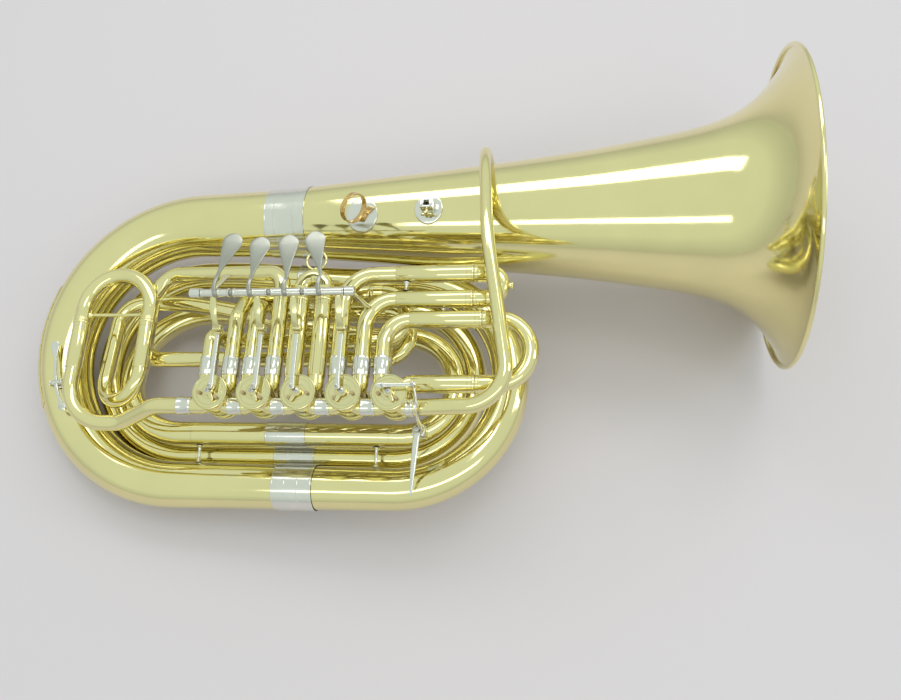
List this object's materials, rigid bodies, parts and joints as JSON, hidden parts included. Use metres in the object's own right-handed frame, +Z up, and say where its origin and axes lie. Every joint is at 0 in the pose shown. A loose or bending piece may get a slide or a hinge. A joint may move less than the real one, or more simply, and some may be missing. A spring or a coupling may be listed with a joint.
{
  "type": "tuba",
  "caption": "Rotary-valve bass tuba lying on its back: a flared bell, nested conical bows, rotors worked by finger levers, a side lever and pull-out tuning slides.",
  "frame": {"origin": "bottom centre of the bounding box, on the plane the tuba rests on", "axes": "+X towards the bell mouth, +Y towards the bell side away from the valves row, +Z up"},
  "size_m": [1.017, 0.5944, 0.4026],
  "materials": {
    "brass": "polished and lacquered",
    "nickel_silver": "polished",
    "bronze": "machined",
    "cork": "dull"
  },
  "bodies": {
    "body": {"bell": "brass", "bell_rim": "brass", "bell_ferrule": "nickel_silver", "bottom_bow": "brass", "bow_guard": "brass", "outer_branch": "brass", "outer_ferrule": "nickel_silver", "top_bow": "brass", "second_branch": "brass", "second_bow": "brass", "third_branch": "brass", "third_bow": "brass", "fourth_branch": "brass", "fourth_bow": "brass", "inner_branch": "brass", "inner_bow": "brass", "inner_ferrules": "nickel_silver", "tuning_branch": "brass", "main_receivers": "brass", "exit_tube": "brass", "leadpipe": "brass", "mouthpiece_receiver": "nickel_silver", "valve_casings": "brass", "bearing_plates": "brass", "back_caps": "brass", "valve_line": "brass", "nickel_ferrules": "nickel_silver", "valve_loops": "brass", "slide_receivers": "brass", "lever_axle": "nickel_silver", "axle_posts": "nickel_silver", "lever_springs": "nickel_silver", "thumb_lever_block": "nickel_silver", "thumb_ring": "brass", "lyre_socket": "nickel_silver", "braces": "nickel_silver", "stop_corks": "cork", "water_key_saddle": "nickel_silver"},
    "rotor_1": {"rotor_1": "bronze"},
    "rotor_2": {"rotor_2": "bronze"},
    "rotor_3": {"rotor_3": "bronze"},
    "rotor_4": {"rotor_4": "bronze"},
    "rotor_5": {"rotor_5": "bronze"},
    "paddle_1": {"paddle_1": "nickel_silver"},
    "paddle_2": {"paddle_2": "nickel_silver"},
    "paddle_3": {"paddle_3": "nickel_silver"},
    "paddle_4": {"paddle_4": "nickel_silver"},
    "thumb_lever": {"thumb_lever": "nickel_silver"},
    "link_1": {"link_1": "nickel_silver"},
    "link_2": {"link_2": "nickel_silver"},
    "link_3": {"link_3": "nickel_silver"},
    "link_4": {"link_4": "nickel_silver"},
    "link_5": {"link_5": "nickel_silver"},
    "main_slide": {"main_slide": "brass"},
    "slide_1": {"slide_1": "brass"},
    "slide_2": {"slide_2": "brass"},
    "slide_3": {"slide_3": "brass"},
    "slide_4": {"slide_4": "brass"},
    "slide_5": {"slide_5": "brass"},
    "water_key": {"water_key": "nickel_silver"}
  },
  "joints": [
    {"name": "paddle_1_hinge", "type": "hinge", "parent": "body", "child": "paddle_1", "pos_m": [-0.05909, -0.07949, 0.26006], "axis": [-0.9914, 0, -0.1312], "range_deg": [0, 22]},
    {"name": "paddle_2_hinge", "type": "hinge", "parent": "body", "child": "paddle_2", "pos_m": [-0.11327, -0.07949, 0.25289], "axis": [-0.9914, 0, -0.1312], "range_deg": [0, 22]},
    {"name": "paddle_3_hinge", "type": "hinge", "parent": "body", "child": "paddle_3", "pos_m": [-0.16745, -0.07949, 0.24572], "axis": [-0.9914, 0, -0.1312], "range_deg": [0, 22]},
    {"name": "paddle_4_hinge", "type": "hinge", "parent": "body", "child": "paddle_4", "pos_m": [-0.22162, -0.07949, 0.23855], "axis": [-0.9914, 0, -0.1312], "range_deg": [0, 22]},
    {"name": "link_1_hinge", "type": "hinge", "parent": "paddle_1", "child": "link_1", "pos_m": [-0.05952, -0.11063, 0.2263], "axis": [0.9914, 0, 0.1312], "range_deg": [0, 34.2]},
    {"name": "link_2_hinge", "type": "hinge", "parent": "paddle_2", "child": "link_2", "pos_m": [-0.11354, -0.11063, 0.21915], "axis": [0.9914, 0, 0.1312], "range_deg": [0, 34.2]},
    {"name": "link_3_hinge", "type": "hinge", "parent": "paddle_3", "child": "link_3", "pos_m": [-0.15766, -0.11063, 0.21331], "axis": [0.9914, 0, 0.1312], "range_deg": [0, 34.2]},
    {"name": "link_4_hinge", "type": "hinge", "parent": "paddle_4", "child": "link_4", "pos_m": [-0.21218, -0.11063, 0.2061], "axis": [0.9914, 0, 0.1312], "range_deg": [0, 34.2]},
    {"name": "thumb_lever_hinge", "type": "hinge", "parent": "body", "child": "thumb_lever", "pos_m": [0.03274, -0.20572, 0.15042], "axis": [0.1307, 0.0892, -0.9874], "range_deg": [0, 17]},
    {"name": "link_5_hinge", "type": "hinge", "parent": "thumb_lever", "child": "link_5", "pos_m": [0.03045, -0.1795, 0.23249], "axis": [-0.1307, -0.0892, 0.9874], "range_deg": [0, 10.6]},
    {"name": "rotor_1_turn", "type": "hinge", "parent": "body", "child": "rotor_1", "pos_m": [-0.04997, -0.1832, 0.19113], "axis": [-0.1307, -0.0892, 0.9874], "range_deg": [0, 90]},
    {"name": "rotor_2_turn", "type": "hinge", "parent": "body", "child": "rotor_2", "pos_m": [-0.10415, -0.1832, 0.18396], "axis": [-0.1307, -0.0892, 0.9874], "range_deg": [0, 90]},
    {"name": "rotor_3_turn", "type": "hinge", "parent": "body", "child": "rotor_3", "pos_m": [-0.15832, -0.1832, 0.17679], "axis": [0.1307, 0.0892, -0.9874], "range_deg": [0, 90]},
    {"name": "rotor_4_turn", "type": "hinge", "parent": "body", "child": "rotor_4", "pos_m": [-0.2125, -0.1832, 0.16962], "axis": [0.1307, 0.0892, -0.9874], "range_deg": [0, 90]},
    {"name": "rotor_5_turn", "type": "hinge", "parent": "body", "child": "rotor_5", "pos_m": [0.00421, -0.1832, 0.1983], "axis": [0.1307, 0.0892, -0.9874], "range_deg": [0, 90]},
    {"name": "main_slide_pull", "type": "slide", "parent": "body", "child": "main_slide", "axis": [-0.0117, 0.996, 0.0885], "range_m": [0, 0.055]},
    {"name": "slide_1_pull", "type": "slide", "parent": "body", "child": "slide_1", "axis": [0.9914, 0, 0.1312], "range_m": [0, 0.08]},
    {"name": "slide_2_pull", "type": "slide", "parent": "body", "child": "slide_2", "axis": [-0.0117, 0.996, 0.0885], "range_m": [0, 0.065]},
    {"name": "slide_3_pull", "type": "slide", "parent": "body", "child": "slide_3", "axis": [0.9914, 0, 0.1312], "range_m": [0, 0.065]},
    {"name": "slide_4_pull", "type": "slide", "parent": "body", "child": "slide_4", "axis": [0.9914, 0, 0.1312], "range_m": [0, 0.065]},
    {"name": "slide_5_pull", "type": "slide", "parent": "body", "child": "slide_5", "axis": [0.9914, 0, 0.1312], "range_m": [0, 0.065]},
    {"name": "water_key_hinge", "type": "hinge", "parent": "body", "child": "water_key", "pos_m": [-0.45197, -0.14913, 0.0934], "axis": [-0.9706, -0.1918, -0.1458], "range_deg": [0, 8]}
  ],
  "couplings": [
    {"joint": "link_1_hinge", "follows": "paddle_1_hinge", "ratio": 1.551},
    {"joint": "link_2_hinge", "follows": "paddle_2_hinge", "ratio": 1.551},
    {"joint": "link_3_hinge", "follows": "paddle_3_hinge", "ratio": 1.551},
    {"joint": "link_4_hinge", "follows": "paddle_4_hinge", "ratio": 1.551},
    {"joint": "link_5_hinge", "follows": "thumb_lever_hinge", "ratio": 0.62},
    {"joint": "rotor_1_turn", "follows": "paddle_1_hinge", "ratio": 4.09},
    {"joint": "rotor_2_turn", "follows": "paddle_2_hinge", "ratio": 4.09},
    {"joint": "rotor_3_turn", "follows": "paddle_3_hinge", "ratio": 4.09},
    {"joint": "rotor_4_turn", "follows": "paddle_4_hinge", "ratio": 4.09},
    {"joint": "rotor_5_turn", "follows": "thumb_lever_hinge", "ratio": 5.29}
  ]
}
